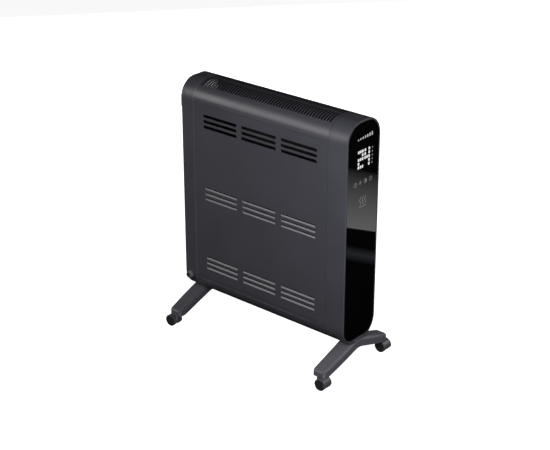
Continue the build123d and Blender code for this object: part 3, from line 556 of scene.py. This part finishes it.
def power_symbol(centre):
    y, z = centre
    stem = [(y, z + SYMBOL_RADIUS * 1.15), (y, z + SYMBOL_RADIUS * 0.15)]
    return [ring(centre, 1, 125, 415), stroke(stem, SYMBOL_LINE)]


SYMBOLS = {
    "symbol_timer": (-0.0251, timer_symbol),
    "symbol_warmth": (-0.0084, warmth_symbol),
    "symbol_half_power": (0.0086, half_power_symbol),
    "symbol_power": (0.0264, power_symbol),
}
for name, (centre_y, symbol) in SYMBOLS.items():
    marks(name, symbol((centre_y, SYMBOL_Z)), PRINT_GREY)

# Rising-warmth emblem: three waves over a line.
EMBLEM_Y = 0.0012
EMBLEM_Z = BODY_BOTTOM + 0.317
EMBLEM_HALF_WIDTH = 0.0115
EMBLEM_LINE = 0.0013
WAVE_LINE = 0.0014
WAVE_SWING = 0.0022
WAVE_GAP = 0.0045
WAVE_HEIGHT = 0.0175
WAVE_STEPS = 20
STEPS_PER_SWING = 16
base_line = [(EMBLEM_Y - EMBLEM_HALF_WIDTH, EMBLEM_Z), (EMBLEM_Y + EMBLEM_HALF_WIDTH, EMBLEM_Z)]
emblem = [stroke(base_line, EMBLEM_LINE)]
for offset in (-0.0085, 0.0, 0.0085):
    wave = [
        (
            EMBLEM_Y + offset + WAVE_SWING * sin(2 * pi * step / STEPS_PER_SWING),
            EMBLEM_Z + WAVE_GAP + WAVE_HEIGHT * step / WAVE_STEPS,
        )
        for step in range(WAVE_STEPS + 1)
    ]
    emblem.append(stroke(wave, WAVE_LINE))
marks("emblem_rising_warmth", emblem, PRINT_GREY)

# --------------------------------------------------------------- fine lines at the seams

TOP_BEND = 0.043
BOTTOM_BEND = 0.048
BEND_STEPS = 12
BEAD_WIDTH = 0.0009
BEAD_RISE = 0.00012
BEAD_SINK = 0.0006

LIP_RADIUS = 0.00035
LIP_STEPS = 6
LIP_START = PANEL_LOW.x + 0.002
LIP_END = PANEL_HIGH.x - 0.020
# (x, share of LIP_RADIUS) along a lip, which tapers to almost nothing at its ends.
LIP_STATIONS = ((LIP_START, 0.1), (LIP_START + 0.01, 1.0), (LIP_END - 0.06, 1.0), (LIP_END, 0.1))

# Painted highlight: the seam bead and the bottom lip are pale, for light caught by their rounded edges.
seam_highlight_bead = moulded_plastic("seam_highlight_grey", SEAM_HIGHLIGHT_GREY, 0.32)


def body_outline(outset):
    """Points (y, z) round the body's cross-section, moved outwards by outset."""
    top = BODY_TOP - TOP_BEND
    bottom = BODY_BOTTOM + BOTTOM_BEND
    bends = [
        ((HALF_DEPTH - TOP_BEND, top), TOP_BEND, 0),
        ((TOP_BEND - HALF_DEPTH, top), TOP_BEND, 90),
        ((BOTTOM_BEND - HALF_DEPTH, bottom), BOTTOM_BEND, 180),
        ((HALF_DEPTH - BOTTOM_BEND, bottom), BOTTOM_BEND, 270),
    ]
    points = []
    for centre, radius, start in bends:
        points += arc(centre, radius + outset, start, start + 90, BEND_STEPS)
    return points


def ring_bead(name, x_low, x_high):
    """A thin ring round the body between two x positions, pale as a painted highlight."""
    mesh = bmesh.new()
    profile = ((x_low, -BEAD_SINK), (x_low, BEAD_RISE), (x_high, BEAD_RISE), (x_high, -BEAD_SINK))
    loops = [[mesh.verts.new((x, y, z)) for y, z in body_outline(outset)] for x, outset in profile]
    for loop, following in zip(loops, loops[1:] + loops[:1]):
        bridge(mesh, loop, following)
    riding_piece(name, mesh, seam_highlight_bead)


def folded_lip(name, height, material):
    """A half-round folded edge along the front, at the height where two sheets meet."""
    mesh = bmesh.new()
    rows = []
    for x, share in LIP_STATIONS:
        section = arc((FACE_Y, height), LIP_RADIUS * share, 90, 270, LIP_STEPS)
        rows.append([mesh.verts.new((x, y, z)) for y, z in section])
    for row, following in zip(rows, rows[1:]):
        bridge(mesh, row, following)
    mesh.faces.new(rows[0])
    mesh.faces.new(rows[-1])
    riding_piece(name, mesh, material)


ring_bead("left_seam_bead", PANEL_LOW.x - BEAD_WIDTH, PANEL_LOW.x)
shaded_lip = powder_coat("shaded_lip", (0.016, 0.016, 0.020), 0.5, 0.6)
folded_lip("top_folded_lip", PANEL_HIGH.z, shaded_lip)
folded_lip("bottom_folded_lip", PANEL_LOW.z, seam_highlight_bead)

# ----------------------------------------------------------------------- floor and cards

BLACK = (0, 0, 0)
WHITE = (1, 1, 1)

FLOOR_SIZE = (60, 60)
FLOOR_GLOW = 0.75

CARD_PLACE = Vector((0.532, 0.414, 0.177))
CARD_SIZE = (0.40, 0.145)
CARD_ROLL = radians(24)
CARD_CURVE = 0.75
CARD_GLOW = 1.3

STRIP_DROP = Vector((0, 0, 0.150))
STRIP_SIZE = (CARD_SIZE[0], 0.040)
STRIP_ROLL = radians(26)
STRIP_COLOUR = (0.80, 0.88, 1.0)
STRIP_GLOW = 0.22

RIM_CARD_PLACE = (1.28, -0.80, -0.33)
RIM_CARD_SIZE = (0.7, 0.9)
RIM_CARD_FACING = (-0.8, 0.5, 0.4)
RIM_CARD_GLOW = 6.0


def plane(name, centre, size, facing, roll=0.0):
    """A rectangle of one face whose normal is facing."""
    mesh = bmesh.new()
    corners = ((-1, -1), (1, -1), (1, 1), (-1, 1))
    mesh.faces.new([mesh.verts.new((x * size[0] / 2, y * size[1] / 2, 0)) for x, y in corners])
    made = link_mesh(name, mesh)
    turn = Vector(facing).to_track_quat("Z", "Y").to_matrix().to_4x4()
    made.matrix_world = Matrix.Translation(centre) @ turn @ Matrix.Rotation(roll, 4, "Z")
    return made


def glowing_card(name, place, size, facing, roll, glow):
    """A white card that only reflections see. Returns the shader of its light."""
    card = plane(name, place, size, facing, roll)
    card.visible_camera = False
    card.visible_diffuse = False
    card.visible_shadow = False
    light = Shader(name, Roughness=1.0)
    light.set("Base Color", (*BLACK, 1))
    light.set("Emission Color", (*WHITE, 1))
    light.set("Emission Strength", glow)
    card.data.materials.append(light.material)
    return light


floor = plane("floor", (0, 0, 0), FLOOR_SIZE, (0, 0, 1))
floor_paint = Shader("floor_paint", Roughness=0.9, IOR=1.3)
floor_tone = floor_paint.blend(floor_paint.noise(3.0), (0.86, 0.86, 0.86), (0.88, 0.88, 0.88))
floor_paint.set("Base Color", floor_tone)
floor_paint.set("Emission Color", (*WHITE, 1))
floor_paint.set("Emission Strength", FLOOR_GLOW)
floor.data.materials.append(floor_paint.material)
floor.visible_glossy = False
floor.visible_diffuse = False

# A graded card that draws the soft grey patch on the black glass.
light = glowing_card("reflector_card", CARD_PLACE, CARD_SIZE, (-1, 0, 0), CARD_ROLL, CARD_GLOW)
fade = light.ramp(light.component(light.coordinates, "Y"), CARD_SIZE[1] / 2, -CARD_SIZE[1] / 2)
light.set("Emission Color", light.blend(light.math("POWER", fade, CARD_CURVE), BLACK, WHITE))

# A second, much fainter strip below it.
strip_place = CARD_PLACE - STRIP_DROP
light = glowing_card("reflector_strip", strip_place, STRIP_SIZE, (-1, 0, 0), STRIP_ROLL, STRIP_GLOW)
distance = light.math("ABSOLUTE", light.component(light.coordinates, "Y"))
soft = light.ramp(distance, 0.0, STRIP_SIZE[1] / 2, 1.0, 0.0)
light.set("Emission Color", light.blend(soft, BLACK, STRIP_COLOUR))

# A low card that puts a fine light line along the control panel's rounded rim.
glowing_card("rim_card", RIM_CARD_PLACE, RIM_CARD_SIZE, RIM_CARD_FACING, 0.0, RIM_CARD_GLOW)

# ----------------------------------------------------------------- lights, world, camera

WORLD_FILL = 0.09

# (name, place, target, size, power in watts, whether reflections show it)
SOFTBOXES = (
    ("key_softbox", (-1.7, -2.3, 1.35), (0, 0, 0.5), (2.6, 1.1), 44, True),
    ("side_softbox", (0.60, -0.62, 0.72), (0.20, 0, 0.48), (0.4, 0.4), 9, False),
    ("rear_softbox", (-2.1, 1.7, 0.45), (-0.1, 0, 0.3), (1.2, 0.6), 45, False),
    ("end_softbox", (1.6, 0.1, 0.7), (0.23, 0, 0.35), (0.7, 0.9), 6, False),
    ("shoulder_softbox", (1.7, 0.9, 1.8), (0.1, 0, 0.2), (0.9, 0.9), 14, True),
    ("back_softbox", (1.2, 2.8, 1.5), (0, 0, 0.35), (1.6, 1.2), 20, True),
)

CAMERA_PLACE = (1.748, -2.071, 1.522)
CAMERA_TARGET = (0, 0, 0.324)
CAMERA_ROLL = radians(0.13)
CAMERA_LENS = 89.5
CAMERA_SENSOR = 36
CAMERA_SHIFT_X = -0.0036
CAMERA_SHIFT_Y = -0.0355


def aimed(place, target):
    """The matrix of a light or camera at place that looks at target."""
    look = (Vector(target) - Vector(place)).to_track_quat("-Z", "Y").to_matrix().to_4x4()
    return Matrix.Translation(place) @ look


for name, place, target, size, power, reflected in SOFTBOXES:
    light = bpy.data.lights.new(name, "AREA")
    light.shape = "RECTANGLE"
    light.size, light.size_y = size
    light.energy = power
    softbox = link_object(name, light)
    softbox.matrix_world = aimed(place, target)
    softbox.visible_glossy = reflected

# White where the camera looks past the floor, a faint even fill otherwise, and unseen by reflections.
world = bpy.data.worlds.new("studio")
world.use_nodes = True
background = world.node_tree.nodes["Background"]
background.inputs["Color"].default_value = (*WHITE, 1)
seen = world.node_tree.nodes.new("ShaderNodeLightPath").outputs["Is Camera Ray"]
strength = world.node_tree.nodes.new("ShaderNodeMapRange")
strength.inputs["To Min"].default_value = WORLD_FILL
strength.inputs["To Max"].default_value = 1.0
world.node_tree.links.new(seen, strength.inputs["Value"])
world.node_tree.links.new(strength.outputs["Result"], background.inputs["Strength"])
world.cycles_visibility.glossy = False
bpy.context.scene.world = world
bpy.context.scene.view_settings.view_transform = "Standard"

camera_data = bpy.data.cameras.new("camera")
camera_data.lens = CAMERA_LENS
camera_data.sensor_width = CAMERA_SENSOR
camera_data.shift_x = CAMERA_SHIFT_X
camera_data.shift_y = CAMERA_SHIFT_Y
camera = link_object("camera", camera_data)
camera.matrix_world = aimed(CAMERA_PLACE, CAMERA_TARGET) @ Matrix.Rotation(CAMERA_ROLL, 4, "Z")
bpy.context.scene.camera = camera
